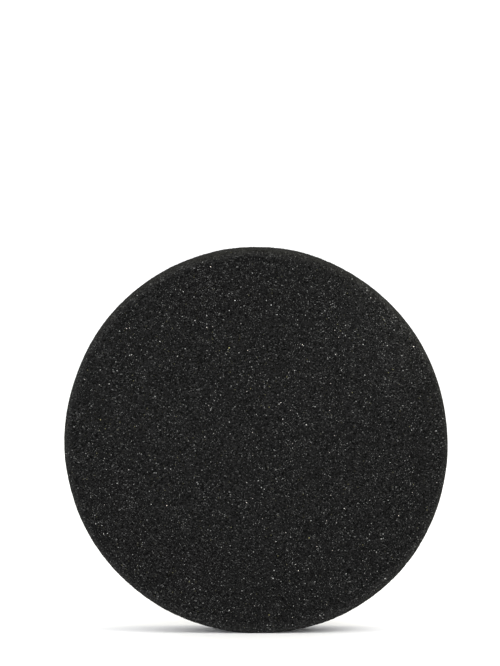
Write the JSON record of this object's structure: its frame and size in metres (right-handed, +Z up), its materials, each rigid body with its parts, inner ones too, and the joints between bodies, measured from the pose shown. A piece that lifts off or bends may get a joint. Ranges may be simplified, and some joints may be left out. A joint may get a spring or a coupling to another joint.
{
  "type": "foam polishing pad",
  "caption": "Round black foam polishing pad with a rounded face edge, a bevelled back and a bonded loop fabric backing, standing on its rim.",
  "frame": {"origin": "centre of the loop face, on the pad's turning axis, where a backing plate meets it", "axes": "+Y out of the loop face along the turning axis, -Y out of the working face, +Z up with the pad standing on its rim"},
  "size_m": [0.15, 0.0281, 0.1497],
  "materials": {
    "foam": "matte",
    "hot_melt": "satin",
    "knit": "matte",
    "loops": "matte"
  },
  "bodies": {
    "root": {"foam_disc": "foam", "adhesive_film": "hot_melt", "backing_knit": "knit", "loop_pile": "loops"}
  },
  "joints": []
}
